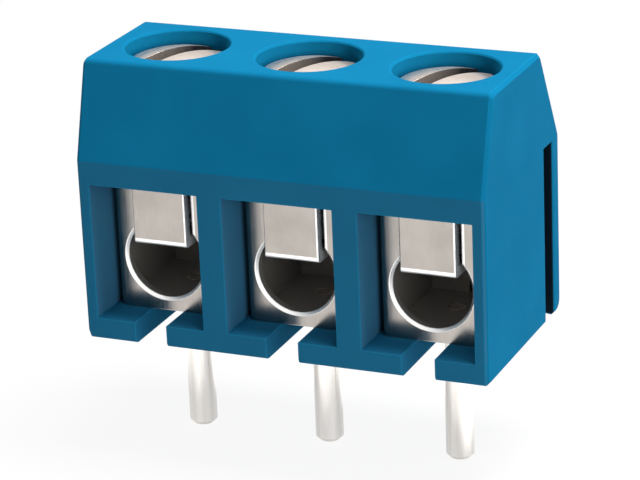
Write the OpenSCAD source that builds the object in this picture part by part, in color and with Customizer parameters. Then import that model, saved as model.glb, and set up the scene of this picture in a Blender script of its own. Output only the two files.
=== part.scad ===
// Three-pole screw terminal block for printed circuit boards, with wire guards.
// Origin: axis of the middle solder pin, at the surface of the board.
// +X runs along the row of poles, +Y to the rear, +Z up from the board.

/* [Housing] */
// Distance between neighbouring poles
pitch = 5; // [5:0.01:7.62]
// Height of the housing above the board
housing_h = 10; // [9.6:0.1:13]
// Front face to rear face
housing_d = 7.6; // [7.5:0.1:10]
// Front face to the row of solder pins
front_to_pins = 3.8; // [3.6:0.05:4.2]
// Height at which the front and rear faces begin to lean in
knee_h = 6.6; // [6.3:0.1:8]
// How far the top front edge stands back
front_lean = 1; // [0:0.05:1.3]
// How far the top rear edge stands in
rear_lean = 1.8; // [0:0.05:2]
// Rounding of the edges that run along the row
edge_r = 0.2; // [0.05:0.01:0.4]
// Rounding of the bottom rear edge
heel_r = 0.35; // [0.05:0.01:0.5]
// Chamfer round both end faces
end_chamfer = 0.12; // [0.02:0.01:0.3]

/* [Wire pockets] */
// Front face to the face of the clamp cage
pocket_depth = 1.45; // [1.1:0.05:1.8]
// Thickness of the housing floor
floor_t = 0.8; // [0.6:0.05:1.1]
// Width of the slot that a solder pin slides in along
floor_slot_w = 1.2; // [1.1:0.01:1.6]

/* [Screw wells] */
// Centre line of the wells, measured back from the front face
front_to_screws = 3.4; // [3.2:0.05:3.6]
// Web of plastic between the bottom of a well and the cage
well_web_t = 0.7; // [0.5:0.05:0.9]
// Chamfer at the mouth of a well
well_chamfer = 0.06; // [0.04:0.01:0.25]

/* [Dovetails] */
// Width of the groove's mouth, between its rounded edges
dovetail_w = 0.8; // [0.5:0.01:0.85]
// Depth of the groove
dovetail_depth = 0.85; // [0.5:0.01:1]
// How much the groove widens inside, on each side
dovetail_flare = 0.22; // [0.1:0.01:0.25]
// Height of the groove's closed end
dovetail_h = 6.5; // [5:0.1:6.9]
// Wall behind the groove's mouth
dovetail_wall = 0.72; // [0.6:0.01:0.8]
// Rounding of the edges of the groove's mouth
dovetail_edge_r = 0.15; // [0.05:0.01:0.3]

/* [Clamp cage] */
// Width across the cage
cage_w = 3.76; // [3.6:0.01:3.8]
// Height of the cage
cage_h = 4.9; // [4.75:0.05:5.4]
// Thickness of the folded sheet
sheet_t = 0.4; // [0.3:0.01:0.42]
// Outside radius of the folds
fold_r = 0.25; // [0.1:0.01:0.4]
// How far the upper of the two top flaps stops short of the side it does not come from
flap_step = 0.45; // [0.3:0.01:0.5]
// Gap between the two ends of the sheet, which meet in the rear wall
seam_gap = 0.1; // [0.04:0.01:0.2]
// Diameter of the wire hole
wire_hole_d = 2.9; // [2.6:0.05:3.2]
// Board to the centre of the wire hole
wire_hole_z = 2.72; // [2.65:0.01:3]
// Chamfer round the wire hole
hole_chamfer = 0.1; // [0.02:0.01:0.2]

/* [Wire guard] */
// Width of the guard strip
guard_w = 2; // [1.6:0.05:2.2]
// Thickness of the guard strip
guard_t = 0.35; // [0.25:0.01:0.4]
// How far the tongue stands out of the cage's front wall
guard_proud = 0.28; // [0.05:0.01:0.3]
// Outside radius of the guard's bends
guard_bend_r = 0.15; // [0.05:0.01:0.3]
// Board to the underside of the guard, with the clamp fully open
guard_open_z = 3.3; // [3.1:0.05:3.6]
// Length of travel from open to closed
clamp_travel = 1.4; // [1:0.05:1.45]

/* [Clamp screw] */
// Outside diameter of the thread
thread_d = 2.5; // [2.2:0.01:2.55]
// Diameter of the head
head_d = 3.3; // [3:0.01:3.4]
// Rise of the domed top above the rim of the head
head_dome = 0.3; // [0.05:0.01:0.35]
// How far the rim of the open screw's head lies below the top of the housing
head_recess = 0.5; // [0.3:0.05:0.8]
// Width of the driver slot
driver_slot_w = 0.7; // [0.4:0.05:0.8]
// Depth of the driver slot below the rim of the head
driver_slot_depth = 0.6; // [0.4:0.05:0.8]
// Angle of the driver slot from the row, with the clamp open
driver_slot_angle = 58; // [0:1:90]
// Chamfer at the tip of the shank
tip_chamfer = 0.25; // [0.1:0.01:0.4]

/* [Solder pin] */
// Diameter of the pin
pin_d = 1; // [0.8:0.01:1.05]
// Length of the pin below the board surface
pin_l = 4.45; // [3:0.05:5]
// Chamfer of the pin's tip
pin_tip = 0.15; // [0.05:0.01:0.3]
// Side of the pin's square neck inside the housing floor
neck_w = 0.78; // [0.6:0.01:0.8]

/* [Clearances] */
// Cage to the plastic above and behind it
cage_gap = 0.06; // [0.02:0.01:0.08]
// Cage to the side walls of its pocket
cage_side_gap = 0.17; // [0.1:0.01:0.25]
// Guard strip to the cage, on each side
guard_gap = 0.12; // [0.04:0.01:0.15]
// Screw thread to the guard strip's rear lug
lug_gap = 0.12; // [0.08:0.01:0.2]
// Top of the open guard's front tongue to the top of the cage
tongue_gap = 0.1; // [0:0.01:0.7]
// Top of the open guard's rear lug to the flaps above it
lug_top_gap = 0.3; // [0.1:0.01:0.7]
// Screw thread to the threaded hole, on the radius
thread_gap = 0.04; // [0.02:0.01:0.06]
// Screw head to the well, on the radius
head_gap = 0.2; // [0.05:0.01:0.25]
// Screw shank to the hole in the plastic web, on the radius
web_gap = 0.15; // [0.1:0.01:0.2]
// Head of the fully driven screw to the web below it
head_stop_gap = 0.44; // [0.05:0.01:0.5]
// Dovetail rib to a neighbour's groove, all round
dovetail_gap = 0.04; // [0.02:0.01:0.08]

/* [Hidden] */

$fn = 64;
poles = 3;
cut = 1;            // how far a cutting tool overshoots what it cuts
corner_steps = 4;   // flats round a rounded edge of the housing

// Places along Y
front_y = -front_to_pins;
rear_y = front_y + housing_d;
screw_y = front_y + front_to_screws;
cage_front_y = front_y + pocket_depth;
lug_y = screw_y + thread_d / 2 + lug_gap;
cage_rear_y = lug_y + guard_t + guard_gap + sheet_t;
cage_d = cage_rear_y - cage_front_y;
tongue_y = cage_front_y - guard_proud;
groove_y = rear_y - dovetail_wall - dovetail_w / 2;

// Heights
cage_bottom_z = floor_t;
cage_top_z = cage_bottom_z + cage_h;
ceiling_z = cage_top_z + cage_gap;
web_top_z = ceiling_z + well_web_t;
head_rim_z = housing_h - head_recess;
head_bottom_z = web_top_z + head_stop_gap + clamp_travel;
tongue_h = cage_top_z - tongue_gap - guard_open_z;
lug_h = cage_top_z - 2 * sheet_t - lug_top_gap - guard_open_z;
screw_tip_z = guard_open_z + guard_t;
cage_floor_z = cage_bottom_z + sheet_t;

// Widths and radii
row_l = poles * pitch;
inner_w = cage_w - 2 * sheet_t;
pocket_w = cage_w + 2 * cage_side_gap;
guide_w = guard_w + 2 * guard_gap;
thread_r = thread_d / 2;
well_r = head_d / 2 + head_gap;
rivet_r = pin_d * 0.3;
dome_r = (pow(head_d / 2, 2) + pow(head_dome, 2)) / (2 * head_dome);

plastic = [0.05, 0.42, 0.62];
tinned = [0.78, 0.76, 0.73];
zinced = [0.82, 0.82, 0.84];

function pole_x(i) = (i - (poles + 1) / 2) * pitch;

// Points of the arc that rounds corner b between a and c with radius r.
function rounded_corner(a, b, c, r) =
  let (
    u = (a - b) / norm(a - b),
    v = (c - b) / norm(c - b),
    half = acos(u * v) / 2,
    centre = b + (u + v) / norm(u + v) * r / sin(half),
    from = b + u * r / tan(half) - centre,
    to = b + v * r / tan(half) - centre,
    sweep = acos(from * to / (r * r))
  )
  [for (i = [0:corner_steps])
    let (t = i / corner_steps)
    centre + (from * sin((1 - t) * sweep) + to * sin(t * sweep)) / sin(sweep)];

// A polygon with corner i rounded with radius r[i].
function rounded_outline(p, r) =
  let (n = len(p))
  [for (i = [0:n - 1]) each rounded_corner(p[(i + n - 1) % n], p[i], p[(i + 1) % n], r[i])];

// A closed outline, seen from the side (Y across, Z up), moved in by d all round.
function inset(p, d) =
  let (n = len(p))
  [for (i = [0:n - 1])
    let (
      u = (p[i] - p[(i + n - 1) % n]) / norm(p[i] - p[(i + n - 1) % n]),
      v = (p[(i + 1) % n] - p[i]) / norm(p[(i + 1) % n] - p[i]),
      nu = [-u.y, u.x],
      nv = [-v.y, v.x]
    )
    p[i] + (nu + nv) * d / (1 + nu * nv)];

side_outline = [
  [front_y, 0], [rear_y, 0], [rear_y, knee_h],
  [rear_y - rear_lean, housing_h], [front_y + front_lean, housing_h], [front_y, knee_h]
];
side_radii = [edge_r, heel_r, edge_r, edge_r, edge_r, edge_r];

// Extrudes a side outline along the row, from x0 to x1.
module along_row(x0, x1)
  translate([x0, 0, 0]) rotate([90, 0, 90]) linear_extrude(x1 - x0) children();

module rounded_rect(w, d, r) {
  square([w - 2 * r, d], center = true);
  square([w, d - 2 * r], center = true);
  for (x = [-1, 1], y = [-1, 1])
    translate([x * (w / 2 - r), y * (d / 2 - r)]) circle(r);
}

// The moulding's outside: the side outline along the row, with chamfered ends.
module housing_block()
  hull() {
    along_row(-row_l / 2 + end_chamfer, row_l / 2 - end_chamfer)
      polygon(rounded_outline(side_outline, side_radii));
    along_row(-row_l / 2, row_l / 2)
      polygon(rounded_outline(inset(side_outline, end_chamfer), side_radii));
  }

// Plan of a dovetail that starts at the end face and widens to depth d.
module dovetail_plan(w, d, flare)
  polygon([[0, -w / 2], [d, -w / 2 - flare], [d, w / 2 + flare], [0, w / 2]]);

// What is cut from a corner at the origin, with material at -X and -Y, to round it.
module corner_cut(r)
  difference() {
    translate([-r, -r]) square(r + cut);
    translate([-r, -r]) circle(r);
  }

module dovetail_groove() {
  translate([row_l / 2, groove_y, -cut]) mirror([1, 0, 0])
    linear_extrude(dovetail_h + cut) {
      dovetail_plan(dovetail_w, dovetail_depth, dovetail_flare);
      translate([-cut, -dovetail_w / 2]) square([cut, dovetail_w]);
    }
  for (side = [0, 1])
    translate([row_l / 2, groove_y, -cut]) mirror([0, side, 0])
      translate([0, -dovetail_w / 2, 0]) linear_extrude(dovetail_h + cut)
        intersection() {
          corner_cut(dovetail_edge_r);
          translate([-dovetail_edge_r, -dovetail_edge_r])
            square([dovetail_edge_r + cut, dovetail_edge_r]);
        }
}

module dovetail_rib()
  translate([-row_l / 2, groove_y, 0]) mirror([1, 0, 0])
    linear_extrude(dovetail_h - dovetail_gap)
      dovetail_plan(dovetail_w - 2 * dovetail_gap, dovetail_depth - dovetail_gap, dovetail_flare);

// The pocket that holds a cage, open at the front face.
module wire_pocket()
  translate([-pocket_w / 2, front_y - cut, floor_t])
    cube([pocket_w, cut + pocket_depth + cage_d + cage_gap, ceiling_z - floor_t]);

module floor_slot() {
  translate([-floor_slot_w / 2, front_y - cut, -cut])
    cube([floor_slot_w, front_to_pins + cut, floor_t + 2 * cut]);
  translate([0, 0, -cut]) cylinder(d = floor_slot_w, h = floor_t + 2 * cut);
}

module screw_well()
  translate([0, screw_y, 0]) {
    translate([0, 0, web_top_z]) cylinder(r = well_r, h = housing_h - web_top_z + cut);
    translate([0, 0, ceiling_z - cut]) cylinder(r = thread_r + web_gap, h = well_web_t + 2 * cut);
    translate([0, 0, housing_h - well_chamfer])
      cylinder(r1 = well_r, r2 = well_r + well_chamfer + cut, h = well_chamfer + cut);
  }

module housing()
  color(plastic)
    difference() {
      union() {
        housing_block();
        dovetail_rib();
      }
      dovetail_groove();
      for (i = [1:poles]) translate([pole_x(i), 0, 0]) {
        wire_pocket();
        floor_slot();
        screw_well();
      }
    }

// Rounds the top of a side wall, at height z, where it folds over into a flap.
module flap_fold(side, z)
  mirror([side < 0 ? 1 : 0, 0, 0])
    translate([cage_w / 2, cage_rear_y + cut, z]) rotate([90, 0, 0])
      linear_extrude(cage_d + 2 * cut) corner_cut(fold_r);

// Folded sheet: the right wall's flap lies across the top, and the left wall's flap over it.
module cage_outside()
  difference() {
    translate([0, cage_front_y + cage_d / 2, cage_bottom_z])
      linear_extrude(cage_h) rounded_rect(cage_w, cage_d, fold_r);
    translate([cage_w / 2 - flap_step, cage_front_y - cut, cage_top_z - sheet_t])
      cube([flap_step + cut, cage_d + 2 * cut, sheet_t + cut]);
    flap_fold(1, cage_top_z - sheet_t);
    flap_fold(-1, cage_top_z);
  }

module cage_inside()
  translate([-inner_w / 2, cage_front_y + sheet_t, cage_floor_z])
    cube([inner_w, cage_d - 2 * sheet_t, cage_h - 3 * sheet_t]);

// Chamfered wire hole, with the guard's guide slot running up from it.
module keyhole() {
  flare = hole_chamfer + cut;
  translate([0, cage_front_y, wire_hole_z]) rotate([-90, 0, 0]) {
    cylinder(d = wire_hole_d, h = sheet_t + cut);
    translate([0, 0, -cut]) cylinder(d1 = wire_hole_d + 2 * flare, d2 = wire_hole_d, h = flare);
  }
  translate([-guide_w / 2, cage_front_y - cut, wire_hole_z])
    cube([guide_w, sheet_t + cut, cage_top_z - wire_hole_z + cut]);
}

module threaded_hole()
  translate([0, screw_y, cage_top_z - 2 * sheet_t - cut])
    cylinder(r = thread_r + thread_gap, h = 2 * sheet_t + 2 * cut);

module rivet_hole()
  translate([0, 0, cage_bottom_z - cut]) cylinder(r = rivet_r, h = sheet_t + 2 * cut);

module rear_seam()
  translate([-seam_gap / 2, cage_rear_y - sheet_t, cage_floor_z])
    cube([seam_gap, sheet_t + cut, cage_h - 3 * sheet_t]);

module clamp_cage(i)
  color(tinned) translate([pole_x(i), 0, 0])
    difference() {
      cage_outside();
      cage_inside();
      keyhole();
      threaded_hole();
      rivet_hole();
      rear_seam();
    }

// Guard strip seen from the side: front tongue, leaf under the screw and rear lug.
module guard_outline() {
  leaf_l = lug_y + guard_t - tongue_y;
  difference() {
    union() {
      square([leaf_l, guard_t]);
      square([guard_t, tongue_h]);
      translate([leaf_l - guard_t, 0]) square([guard_t, lug_h]);
    }
    rotate(180) corner_cut(guard_bend_r);
    translate([leaf_l, 0]) mirror([0, 1]) corner_cut(guard_bend_r);
  }
}

module wire_guard(i)
  color(tinned)
    translate([pole_x(i) - guard_w / 2, tongue_y, guard_open_z])
      rotate([90, 0, 90]) linear_extrude(guard_w) guard_outline();

// Round head with a domed top and one driver slot.
module screw_head()
  difference() {
    intersection() {
      translate([0, 0, head_bottom_z])
        cylinder(d = head_d, h = head_rim_z + head_dome - head_bottom_z);
      translate([0, 0, head_rim_z + head_dome - dome_r]) sphere(dome_r);
    }
    translate([-head_d, -driver_slot_w / 2, head_rim_z - driver_slot_depth])
      cube([2 * head_d, driver_slot_w, driver_slot_depth + head_dome + cut]);
  }

module screw_shank() {
  translate([0, 0, screw_tip_z]) cylinder(r1 = thread_r - tip_chamfer, r2 = thread_r, h = tip_chamfer);
  translate([0, 0, screw_tip_z + tip_chamfer])
    cylinder(r = thread_r, h = head_bottom_z - screw_tip_z - tip_chamfer);
}

module clamp_screw(i)
  color(zinced) translate([pole_x(i), screw_y, 0]) rotate([0, 0, driver_slot_angle]) {
    screw_head();
    screw_shank();
  }

module solder_pin(i)
  color(tinned) translate([pole_x(i), 0, 0]) {
    translate([0, 0, -pin_l]) cylinder(r1 = pin_d / 2 - pin_tip, r2 = pin_d / 2, h = pin_tip);
    translate([0, 0, -pin_l + pin_tip]) cylinder(d = pin_d, h = pin_l - pin_tip);
    translate([0, 0, floor_t / 2]) cube([neck_w, neck_w, floor_t], center = true);
    translate([0, 0, floor_t]) cylinder(r = rivet_r, h = sheet_t);
  }

housing();
clamp_cage(1);  // clamp_cage_1
clamp_cage(2);  // clamp_cage_2
clamp_cage(3);  // clamp_cage_3
wire_guard(1);  // wire_guard_1
wire_guard(2);  // wire_guard_2
wire_guard(3);  // wire_guard_3
clamp_screw(1);  // clamp_screw_1
clamp_screw(2);  // clamp_screw_2
clamp_screw(3);  // clamp_screw_3
solder_pin(1);  // solder_pin_1
solder_pin(2);  // solder_pin_2
solder_pin(3);  // solder_pin_3
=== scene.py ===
"""Looks of a three-pole screw terminal block for a circuit board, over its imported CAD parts."""

import math

import bpy
from mathutils import Matrix, Vector


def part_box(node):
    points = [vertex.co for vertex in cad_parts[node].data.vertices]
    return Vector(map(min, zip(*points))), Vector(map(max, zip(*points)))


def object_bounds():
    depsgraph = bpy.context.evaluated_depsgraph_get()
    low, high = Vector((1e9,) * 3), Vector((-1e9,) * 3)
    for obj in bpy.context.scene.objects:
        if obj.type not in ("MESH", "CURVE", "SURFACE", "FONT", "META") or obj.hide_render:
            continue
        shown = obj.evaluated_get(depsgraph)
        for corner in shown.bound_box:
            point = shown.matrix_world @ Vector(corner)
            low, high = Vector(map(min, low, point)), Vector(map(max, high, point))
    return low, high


MM = 0.001
POLES = (1, 2, 3)

# Camera, in the part's frame: a long lens from the front right, a little above
CAMERA_AT = Vector((38.8, -88.6, 38.8)) * MM
CAMERA_AZIMUTH = math.radians(23.69)
CAMERA_ELEVATION = math.radians(20.24)
CAMERA_ROLL = -0.042
CAMERA_LENS_MM = 165.2
SENSOR_MM = 36
CLIP_START = 0.01

# Lamps: name, place in mm, point they face in mm, size in mm, watts
LAMPS = (
    ("key", (40, 16, 170), (0, 0, 4), (80, 80), 0.325),
    ("side", (150, 10, 60), (0, 0, 4), (90, 90), 0.046),
    ("front", (140, -110, 45), (0, 0, 3), (110, 110), 0.060),
)

# Paper floor: half its width in metres, how far its fibre darkens it, and its glow and albedo
# to the camera, to diffuse light and in metal. It adds no light to the diffuse kind
FLOOR_HALF = 1.2
FIBRE_LOW = 0.985
GLOW_SEEN = 0.91
GLOW_IN_METAL = 0.58
ALBEDO_SEEN = 0.09
ALBEDO_BOUNCE = 0.45
ALBEDO_IN_METAL = 0.75

# Room: its level for diffuse light, and the sky that metal shows. The two heights are those of
# a direction, 0 at the horizon and 1 overhead
WORLD_LEVEL = 0.225
SKY_SEEN_LOW = 0.62
SKY_SEEN_HIGH = 1.35
SKY_LOW_TO = 0.50
SKY_HIGH_FROM = 0.68

# Linear colours
BLUE = (0.007, 0.226, 0.438, 1)
BLUE_DEEP = (0.006, 0.202, 0.398, 1)
# Painted highlight along the housing's edges
BLUE_EDGE_HIGHLIGHT = (0.010, 0.480, 0.860, 1)
# Painted shade in the housing's corners and recesses
BLUE_PAINTED_SHADE = (0.002, 0.030, 0.070, 1)
# Painted shade inside the dovetail groove
GROOVE_PAINTED_SHADE = (0.012, 0.014, 0.020, 1)
# Painted light: a paler, greyer tone for the faces below the knee
PAINTED_FRONT_LIGHT = (0.30, 0.285, 0.265, 1)
TIN = (0.415, 0.382, 0.350, 1)
TIN_DULL = (0.355, 0.326, 0.299, 1)
# Painted shade in the metal's corners and gaps
TIN_PAINTED_SHADE = (0.10, 0.085, 0.07, 1)
# Painted shade on the cage's inside and in its wire hole
HOLE_PAINTED_SHADE = (0.26, 0.24, 0.215, 1)
# Painted highlight on metal edges and rims
PAINTED_HIGHLIGHT = (1.0, 0.985, 0.96, 1)
ZINC = (0.76, 0.66, 0.585, 1)
ZINC_DULL = (0.66, 0.575, 0.51, 1)
# Painted shade in the screws' driver slots
SLOT_PAINTED_SHADE = (0.035, 0.035, 0.04, 1)
PIN = (0.99, 0.943, 0.892, 1)
PIN_DULL = (0.73, 0.69, 0.645, 1)
WHITE = (1, 1, 1, 1)

# Housing: where a paler, greyer tone is painted on as light below the knee, how much of it its
# faces carry, and how much more pocket walls do
KNEE_Z = 6.6 * MM
END_FACE = 7.45 * MM
POCKET_Y = -3.76 * MM
POCKET_REACH = 3.7 * MM
POCKET_FLOOR_Z = 0.85 * MM
FRONT_LIGHT_SHARE = 0.055
POCKET_LIGHT_SHARE = 0.11

# Dovetail groove, whose walls are painted dark as shade: its mouth at the board, how far it runs,
# and the unshaded edge of its mouth
GROOVE_AT = Vector((7.5, 2.68, 0)) * MM
GROOVE_HALF_W = 0.6 * MM
GROOVE_DEPTH = 0.9 * MM
GROOVE_HEIGHT = 6.55 * MM
GROOVE_MOUTH = 0.04 * MM
GROOVE_SHADE_SHARE = 0.93

# Plastic: painted highlight along edges, mould grain and gloss
EDGE_HIGHLIGHT_SHARE = 0.65
GRAIN_MM = 0.010
GRAIN_STRENGTH = 0.30
PLASTIC_IOR = 1.53
PLASTIC_SPECULAR = 0.0015

# Cage: wire hole, its rim with a painted highlight, and the band beside the guard's slot with a
# painted highlight
SHEET = 0.3 * MM
WIRE_HOLE_Z = 2.72 * MM
WIRE_HOLE_R = 1.45 * MM
HOLE_RIM = 0.11 * MM
RIM_DEPTH = 0.12 * MM
GUARD_SLOT_HALF_W = 1.12 * MM
GUARD_SLOT_RIM = 0.10 * MM

# Guard: painted highlight on its lower lip, right edge and sheared sides; how far a sheared side
# faces sideways, from 0 to 1, and how metallic it looks
GUARD_LIP = 0.21 * MM
GUARD_EDGE = 0.065 * MM
SHEARED_FACING = 0.7
SHEARED_METALLIC = 0.2

# Screw: driver slot and the shade painted in it, turned rings on the head, thread on the shank
SLOT_HALF_W = 0.36 * MM
SLOT_FROM_Z = 8.85 * MM
SLOT_ANGLE = math.radians(58)
SLOT_SHADE_REACH = 0.9 * MM
SLOT_SHADE_METALLIC = 0.1
ZINC_METALLIC = 0.75
RING_SPACING = 0.055 * MM
RING_MM = 0.002
RING_STRENGTH = 0.05
SHANK_TOP_Z = 8.2 * MM
THREAD_PITCH = 0.45 * MM
THREAD_MM = 0.22

# Sheet and pins: rolling lines, roughness, and how much rougher the parts with a painted highlight
# are
LINES_MM = 0.004
LINES_STRENGTH = 0.25
CAGE_LINES_STRENGTH = 0.08
CAGE_ROUGHNESS = 0.22
GUARD_ROUGHNESS = 0.24
PIN_ROUGHNESS = 0.22
HIGHLIGHT_ROUGHER = 0.15
ANISOTROPY = 0.25

# Edges: how round they look, how far a rounded normal leans where an edge counts in full
EDGE_ROUND_MM = 0.05
SCREW_EDGE_ROUND_MM = 0.015
EDGE_LEAN = 0.3
EDGE_SAMPLES = 6


# ---------------------------------------------------------------- node helpers


class Graph:
    """A material's node tree, with short calls that add a node and link its inputs."""

    def __init__(self, name):
        self.material = bpy.data.materials.new(name)
        self.material.use_nodes = True
        self.tree = self.material.node_tree
        self.tree.nodes.clear()

    def add(self, kind, inputs=None, **settings):
        node = self.tree.nodes.new(kind)
        for key, value in settings.items():
            setattr(node, key, value)
        for key, value in (inputs or {}).items():
            self.feed(node.inputs[key], value)
        return node

    def feed(self, socket, value):
        if isinstance(value, bpy.types.NodeSocket):
            self.tree.links.new(value, socket)
        else:
            socket.default_value = value

    def place(self, scale=(1, 1, 1)):
        """Position on the piece, in millimetres times scale, so that patterns have a real size."""
        coordinates = self.add("ShaderNodeTexCoord")
        factors = tuple(s / MM for s in scale)
        mapping = self.add(
            "ShaderNodeMapping", {"Vector": coordinates.outputs["Object"], "Scale": factors}
        )
        return mapping.outputs["Vector"]

    def position(self, centre=(0, 0, 0)):
        """X, Y and Z on the piece, in metres from centre."""
        local = self.add("ShaderNodeVectorMath", operation="SUBTRACT")
        self.feed(local.inputs[0], self.add("ShaderNodeTexCoord").outputs["Object"])
        self.feed(local.inputs[1], tuple(centre))
        parts = self.add("ShaderNodeSeparateXYZ", {"Vector": local.outputs["Vector"]})
        return [parts.outputs[k] for k in "XYZ"]

    def noise(self, vector, scale, detail=2.0, roughness=0.5):
        node = self.add(
            "ShaderNodeTexNoise",
            {"Vector": vector, "Scale": scale, "Detail": detail, "Roughness": roughness},
        )
        return node.outputs["Fac"]

    def remap(self, value, low, high, start=0.3, end=0.7):
        """low where value is start, high where it is end, and held beyond them."""
        node = self.add(
            "ShaderNodeMapRange",
            {"Value": value, "From Min": start, "From Max": end, "To Min": low, "To Max": high},
        )
        return node.outputs["Result"]

    def mix(self, factor, first, second):
        """A colour mix; 6, 7 and 2 are the node's colour sockets."""
        node = self.add("ShaderNodeMix", data_type="RGBA")
        self.feed(node.inputs[0], factor)
        self.feed(node.inputs[6], first)
        self.feed(node.inputs[7], second)
        return node.outputs[2]

    def blend(self, factor, first, second):
        """A mix of numbers; 2, 3 and 0 are the node's number sockets."""
        node = self.add("ShaderNodeMix", data_type="FLOAT")
        self.feed(node.inputs[0], factor)
        self.feed(node.inputs[2], first)
        self.feed(node.inputs[3], second)
        return node.outputs[0]

    def math(self, operation, first, second=0.0):
        node = self.add("ShaderNodeMath", operation=operation)
        self.feed(node.inputs[0], first)
        self.feed(node.inputs[1], second)
        return node.outputs[0]

    def times(self, first, second):
        return self.math("MULTIPLY", first, second)

    def above(self, value, limit):
        return self.math("GREATER_THAN", value, limit)

    def below(self, value, limit):
        return self.math("LESS_THAN", value, limit)

    def within(self, value, start, width):
        """1 where value lies in the band of this width that begins at start."""
        return self.times(self.above(value, start), self.below(value, start + width))

    def either(self, first, second):
        """The greater of two masks."""
        return self.math("MAXIMUM", first, second)

    def length(self, first, second):
        squares = [self.times(v, v) for v in (first, second)]
        return self.math("SQRT", self.math("ADD", *squares))

    def along_and_across(self, x, y, angle):
        """x and y in axes that are turned by angle."""
        ca, sa = math.cos(angle), math.sin(angle)
        along = self.math("ADD", self.times(x, ca), self.times(y, sa))
        across = self.math("SUBTRACT", self.times(y, ca), self.times(x, sa))
        return along, across

    def bevel(self, radius_mm=EDGE_ROUND_MM):
        node = self.add("ShaderNodeBevel", {"Radius": radius_mm * MM}, samples=EDGE_SAMPLES)
        return node.outputs["Normal"]

    def edges(self, radius_mm):
        """1 along outer and inner edges, falling to 0 within about radius_mm of them."""
        node = self.add("ShaderNodeVectorMath", operation="DOT_PRODUCT")
        self.feed(node.inputs[0], self.bevel(radius_mm))
        self.feed(node.inputs[1], self.add("ShaderNodeNewGeometry").outputs["Normal"])
        return self.remap(node.outputs["Value"], 1, 0, 1 - EDGE_LEAN, 1)

    def crevice_shade(self, reach_mm):
        """0 in the open, rising to 1 deep in a corner, hole or gap narrower than reach_mm: where
        shade is painted.
        """
        inputs = {"Distance": reach_mm * MM}
        node = self.add("ShaderNodeAmbientOcclusion", inputs, samples=EDGE_SAMPLES)
        return self.remap(node.outputs["AO"], 1, 0, 0, 1)

    def bump(self, height, distance_mm, strength, normal):
        inputs = {"Height": height, "Distance": distance_mm * MM, "Strength": strength}
        return self.add("ShaderNodeBump", {**inputs, "Normal": normal}).outputs["Normal"]

    def finish(self, inputs):
        shader = self.add("ShaderNodeBsdfPrincipled", inputs)
        output = self.add("ShaderNodeOutputMaterial")
        self.tree.links.new(shader.outputs["BSDF"], output.inputs["Surface"])
        return self.material


# ------------------------------------------------------------------- materials


def painted_front_light_share(g):
    """Share of painted light, a paler, greyer tone: a little between the ends below the knee, more
    on the pockets' walls.
    """
    x, y, z = g.position()
    below_knee = g.times(g.below(z, KNEE_Z), g.within(x, -END_FACE, 2 * END_FACE))
    in_pocket = g.times(g.within(y, POCKET_Y, POCKET_REACH), POCKET_LIGHT_SHARE)
    in_pocket = g.times(in_pocket, g.above(z, POCKET_FLOOR_Z))
    return g.times(below_knee, g.math("ADD", in_pocket, FRONT_LIGHT_SHARE))


def inside_groove(g):
    """1 on the walls of the dovetail groove in the right end, where shade is painted."""
    x, y, z = g.position(GROOVE_AT)
    across = g.within(y, -GROOVE_HALF_W, 2 * GROOVE_HALF_W)
    inwards = g.within(x, -GROOVE_DEPTH, GROOVE_DEPTH - GROOVE_MOUTH)
    return g.times(g.times(inwards, across), g.within(z, GROOVE_MOUTH, GROOVE_HEIGHT))


def moulded_plastic(name):
    """Satin blue polyamide with fine mould grain; painted edge highlights, painted shade in
    crevices and the groove, and a paler, greyer painted light low down.
    """
    g = Graph(name)
    place = g.place()
    cloud = g.noise(place, scale=0.35, detail=3)
    grain = g.noise(place, scale=14, detail=4, roughness=0.6)
    gloss = g.noise(place, scale=2.2, detail=3)
    # Painted shade: darker blue deep in corners, recesses and gaps
    painted_shade = g.remap(g.crevice_shade(reach_mm=0.25), 0, 0.95, start=0.35, end=0.8)
    colour = g.mix(g.remap(cloud, 0, 1), BLUE_DEEP, BLUE)
    # Painted highlight: a paler blue along the edges
    colour = g.mix(g.times(g.edges(radius_mm=0.08), EDGE_HIGHLIGHT_SHARE), colour, BLUE_EDGE_HIGHLIGHT)
    colour = g.mix(painted_shade, colour, BLUE_PAINTED_SHADE)
    # Painted light: faces below the knee, and more so the pockets' walls, paler and greyer than the
    # top
    colour = g.mix(painted_front_light_share(g), colour, PAINTED_FRONT_LIGHT)
    # Painted shade: the groove's walls near black
    colour = g.mix(g.times(inside_groove(g), GROOVE_SHADE_SHARE), colour, GROOVE_PAINTED_SHADE)
    return g.finish(
        {
            "Base Color": colour,
            "Roughness": g.remap(gloss, 0.36, 0.46),
            "Normal": g.bump(grain, GRAIN_MM, GRAIN_STRENGTH, g.bevel()),
            "IOR": PLASTIC_IOR,
            "Specular IOR Level": PLASTIC_SPECULAR,
        }
    )


def metal(g, colour, highlight_mask, roughness, normal, metallic=1.0):
    """Satin metal, with a painted highlight and a little rougher where highlight_mask is 1."""
    return g.finish(
        {
            "Base Color": g.mix(highlight_mask, colour, PAINTED_HIGHLIGHT),
            "Metallic": metallic,
            "Roughness": g.math("ADD", roughness, g.times(highlight_mask, HIGHLIGHT_ROUGHER)),
            "Normal": normal,
            "Anisotropic": ANISOTROPY,
        }
    )


def rolled_surface(g, bright, dull, rough, brush, patch=(1, 1, 1)):
    """Colour, roughness and height of plated metal: faint rolling lines, patchy tarnish and painted
    shade in corners and gaps.

    brush and patch pack the lines and the patches closer along each axis.
    """
    lines = g.noise(g.place(brush), scale=1, detail=3, roughness=0.6)
    tarnish = g.noise(g.place(patch), scale=0.9, detail=3)
    # Painted shade: darker metal in corners and gaps
    painted_shade = g.remap(g.crevice_shade(reach_mm=0.35), 0, 0.55, start=0.35, end=1)
    colour = g.mix(painted_shade, g.mix(g.remap(tarnish, 0, 1), bright, dull), TIN_PAINTED_SHADE)
    return colour, g.math("ADD", g.remap(lines, -0.04, 0.05), rough), lines


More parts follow.
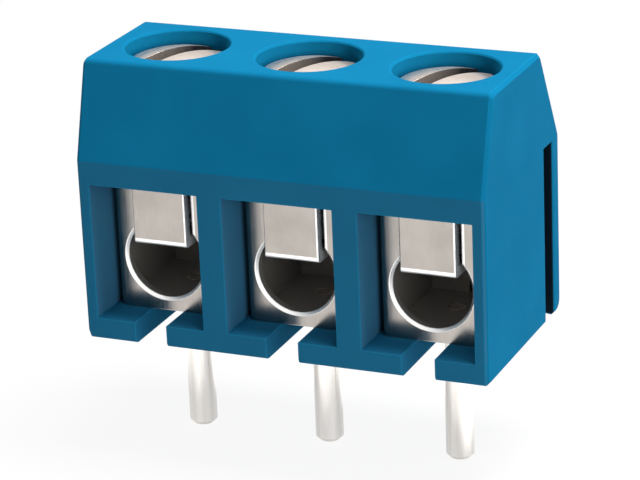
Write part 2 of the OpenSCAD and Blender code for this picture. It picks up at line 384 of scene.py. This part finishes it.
def tinned_cage(name, box):
    """Tin-plated sheet: painted highlights along edges, round the wire hole and beside the guard;
    painted shade on the inside.
    """
    g = Graph(name)
    brush = (16, 16, 1.2)
    colour, roughness, lines = rolled_surface(g, TIN, TIN_DULL, CAGE_ROUGHNESS, brush)
    low, high = box
    x, y, z = g.position(((low.x + high.x) / 2, low.y, WIRE_HOLE_Z))
    rim = g.below(g.length(x, z), WIRE_HOLE_R + HOLE_RIM)
    inside = g.either(g.times(rim, g.above(y, RIM_DEPTH)), g.above(y, SHEET))
    outside = g.math("SUBTRACT", 1.0, inside)
    beside_guard = g.times(g.within(x, GUARD_SLOT_HALF_W, GUARD_SLOT_RIM), g.above(z, 0))
    # Painted highlight along edges, round the hole's rim and beside the guard's slot
    highlight_mask = g.either(g.edges(radius_mm=0.05), g.either(rim, beside_guard))
    normal = g.bump(lines, LINES_MM, CAGE_LINES_STRENGTH, g.bevel())
    # Painted shade: the inside is dark and matte
    colour = g.mix(inside, colour, HOLE_PAINTED_SHADE)
    return metal(g, colour, g.times(highlight_mask, outside), roughness, normal, outside)


def guard_strip(name, box):
    """Spring strip with painted highlights on its lower lip, its right edge, its edges and its
    sheared sides, which are also less metallic.
    """
    g = Graph(name)
    brush = (20, 20, 1.5)
    colour, roughness, lines = rolled_surface(g, TIN, TIN_DULL, GUARD_ROUGHNESS, brush)
    low, high = box
    above_lip = g.position(low)[2]
    from_right = g.position(high)[0]
    lip = g.either(g.below(above_lip, GUARD_LIP), g.above(from_right, -GUARD_EDGE))
    flat = g.add("ShaderNodeNewGeometry").outputs["True Normal"]
    sideways = g.math("ABSOLUTE", g.add("ShaderNodeSeparateXYZ", {"Vector": flat}).outputs["X"])
    sheared = g.above(sideways, SHEARED_FACING)
    # Painted highlight on the lower lip, right edge, sheared sides and edges
    highlight_mask = g.either(g.either(lip, sheared), g.edges(radius_mm=0.06))
    normal = g.bump(lines, LINES_MM, LINES_STRENGTH, g.bevel())
    metallic = g.remap(sheared, 1, SHEARED_METALLIC, 0, 1)
    return metal(g, colour, highlight_mask, roughness, normal, metallic)


def tinned_pin(name):
    """Tin-plated round pin, brighter than the sheet, with painted highlights along its edges and
    vertical streaks that are drawing marks and also painted reflection bands.
    """
    g = Graph(name)
    brush, patch = (12, 12, 0.8), (3, 3, 0.12)
    # The vertical bright and dull streaks are drawing marks and also painted reflection bands
    colour, roughness, lines = rolled_surface(g, PIN, PIN_DULL, PIN_ROUGHNESS, brush, patch)
    normal = g.bump(lines, LINES_MM, LINES_STRENGTH, g.bevel())
    # Painted highlight along the edges
    return metal(g, colour, g.edges(radius_mm=0.05), roughness, normal)


def zinced_screw(name, axis):
    """Zinc-plated screw: turned rings, a driver slot with painted shade darkening towards one end,
    a helical thread.
    """
    g = Graph(name)
    x, y, z = g.position((axis.x, axis.y, 0))
    along, across = g.along_and_across(x, y, SLOT_ANGLE)
    in_slot = g.below(g.math("ABSOLUTE", across), SLOT_HALF_W)
    in_slot = g.times(in_slot, g.above(z, SLOT_FROM_Z))
    # Painted shade: the slot darkens towards one end and loses its metal look
    slot_shade = g.times(in_slot, g.remap(along, 0, 1, -SLOT_SHADE_REACH, SLOT_SHADE_REACH))
    rings = g.math("SINE", g.times(g.length(x, y), 2 * math.pi / RING_SPACING))
    turns = g.math("DIVIDE", g.math("ARCTAN2", y, x), 2 * math.pi)
    helix = g.math("SUBTRACT", g.math("DIVIDE", z, THREAD_PITCH), turns)
    thread = g.times(g.math("PINGPONG", helix, 0.5), g.below(z, SHANK_TOP_Z))
    cloud = g.noise(g.place(), scale=0.8)
    wobble = g.noise(g.place(), scale=3)
    colour = g.mix(g.remap(cloud, 0, 1), ZINC, ZINC_DULL)
    edge = g.bevel(SCREW_EDGE_ROUND_MM)
    turned = g.bump(g.times(rings, wobble), RING_MM, RING_STRENGTH, edge)
    return g.finish(
        {
            "Base Color": g.mix(slot_shade, colour, SLOT_PAINTED_SHADE),
            "Metallic": g.remap(slot_shade, ZINC_METALLIC, SLOT_SHADE_METALLIC, 0, 1),
            "Roughness": g.remap(wobble, 0.26, 0.32),
            "Normal": g.bump(thread, THREAD_MM, 1.0, turned),
        }
    )


def seen_level(g, plain, camera, in_metal):
    """plain for diffuse light, camera for the camera's own rays, in_metal for what metal shows."""
    path = g.add("ShaderNodeLightPath")
    level = g.blend(path.outputs["Is Camera Ray"], plain, camera)
    return g.blend(path.outputs["Is Glossy Ray"], level, in_metal)


def studio_floor(name):
    """White paper that glows to the camera and in metal, and keeps the part's shadow."""
    g = Graph(name)
    fibre = g.remap(g.noise(g.place(), scale=0.3, detail=4), FIBRE_LOW, 1)
    albedo = g.times(seen_level(g, ALBEDO_BOUNCE, ALBEDO_SEEN, ALBEDO_IN_METAL), fibre)
    colour = g.add("ShaderNodeCombineColor", {"Red": albedo, "Green": albedo, "Blue": albedo})
    paper = g.add("ShaderNodeBsdfDiffuse", {"Color": colour.outputs["Color"]})
    glow = g.add("ShaderNodeEmission", {"Strength": seen_level(g, 0, GLOW_SEEN, GLOW_IN_METAL)})
    both = g.add("ShaderNodeAddShader")
    g.feed(both.inputs[0], paper.outputs["BSDF"])
    g.feed(both.inputs[1], glow.outputs["Emission"])
    g.add("ShaderNodeOutputMaterial", {"Surface": both.outputs["Shader"]})
    return g.material


# ---------------------------------------------------------------------- studio


def make_camera():
    ca, sa = math.cos(CAMERA_AZIMUTH), math.sin(CAMERA_AZIMUTH)
    ce, se = math.cos(CAMERA_ELEVATION), math.sin(CAMERA_ELEVATION)
    back = Vector((sa * ce, -ca * ce, se))
    right = Vector((ca, sa, 0))
    up = back.cross(right)
    cr, sr = math.cos(CAMERA_ROLL), math.sin(CAMERA_ROLL)
    x_axis = right * cr + up * sr
    y_axis = up * cr - right * sr
    turn = Matrix((x_axis, y_axis, back)).transposed()
    data = bpy.data.cameras.new("camera")
    data.lens = CAMERA_LENS_MM
    data.sensor_width = SENSOR_MM
    data.clip_start = CLIP_START
    camera = bpy.data.objects.new("camera", data)
    camera.matrix_world = Matrix.Translation(CAMERA_AT) @ turn.to_4x4()
    bpy.context.scene.collection.objects.link(camera)
    bpy.context.scene.camera = camera


def area_light(name, at_mm, target_mm, size_mm, watts):
    data = bpy.data.lights.new(name, "AREA")
    data.shape = "RECTANGLE"
    data.size, data.size_y = (s * MM for s in size_mm)
    data.energy = watts
    lamp = bpy.data.objects.new(name, data)
    at, target = Vector(at_mm) * MM, Vector(target_mm) * MM
    turn = (target - at).to_track_quat("-Z", "Y").to_matrix()
    lamp.matrix_world = Matrix.Translation(at) @ turn.to_4x4()
    bpy.context.scene.collection.objects.link(lamp)


def make_floor(z):
    mesh = bpy.data.meshes.new("floor")
    signs = ((-1, -1), (1, -1), (1, 1), (-1, 1))
    corners = [(sx * FLOOR_HALF, sy * FLOOR_HALF, z) for sx, sy in signs]
    mesh.from_pydata(corners, [], [(0, 1, 2, 3)])
    floor = bpy.data.objects.new("floor", mesh)
    mesh.materials.append(studio_floor("studio_floor"))
    bpy.context.scene.collection.objects.link(floor)


def make_world():
    """A soft white room. Metal shows it greyer near the horizon and brighter overhead."""
    world = bpy.data.worlds.new("studio")
    world.use_nodes = True
    tree = world.node_tree
    new, link = tree.nodes.new, tree.links.new
    height = new("ShaderNodeSeparateXYZ")
    link(new("ShaderNodeTexCoord").outputs["Generated"], height.inputs[0])
    shown = new("ShaderNodeMapRange")
    shown.inputs["From Min"].default_value = SKY_LOW_TO
    shown.inputs["From Max"].default_value = SKY_HIGH_FROM
    shown.inputs["To Min"].default_value = SKY_SEEN_LOW
    shown.inputs["To Max"].default_value = SKY_SEEN_HIGH
    link(height.outputs["Z"], shown.inputs["Value"])
    level = new("ShaderNodeMix")
    level.inputs[2].default_value = WORLD_LEVEL
    link(new("ShaderNodeLightPath").outputs["Is Glossy Ray"], level.inputs[0])
    link(shown.outputs["Result"], level.inputs[3])
    background = tree.nodes["Background"]
    background.inputs["Color"].default_value = WHITE
    link(level.outputs[0], background.inputs["Strength"])
    bpy.context.scene.world = world


def make_studio(low_z):
    make_camera()
    make_floor(low_z)
    make_world()
    for lamp in LAMPS:
        area_light(*lamp)
    bpy.context.scene.view_settings.view_transform = "Standard"


# ------------------------------------------------------------------- the block


def paint(node, material):
    for slot in node.material_slots:
        slot.material = material


def dress(nodes):
    paint(nodes["housing"], moulded_plastic("blue_polyamide"))
    pin = tinned_pin("tinned_pin")
    for i in POLES:
        cage, guard = f"clamp_cage_{i}", f"wire_guard_{i}"
        paint(nodes[cage], tinned_cage(f"tinned_cage_{i}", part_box(cage)))
        paint(nodes[guard], guard_strip(f"guard_strip_{i}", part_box(guard)))
        paint(nodes[f"solder_pin_{i}"], pin)
        low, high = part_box(f"clamp_screw_{i}")
        paint(nodes[f"clamp_screw_{i}"], zinced_screw(f"zinced_screw_{i}", (low + high) / 2))


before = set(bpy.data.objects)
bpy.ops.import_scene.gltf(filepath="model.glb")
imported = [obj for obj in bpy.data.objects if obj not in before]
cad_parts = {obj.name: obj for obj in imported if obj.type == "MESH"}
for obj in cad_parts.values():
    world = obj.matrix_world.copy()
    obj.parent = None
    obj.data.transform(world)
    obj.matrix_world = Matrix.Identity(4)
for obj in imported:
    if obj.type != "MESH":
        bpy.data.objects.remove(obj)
cad_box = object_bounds()
make_studio(cad_box[0][2])
dress(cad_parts)
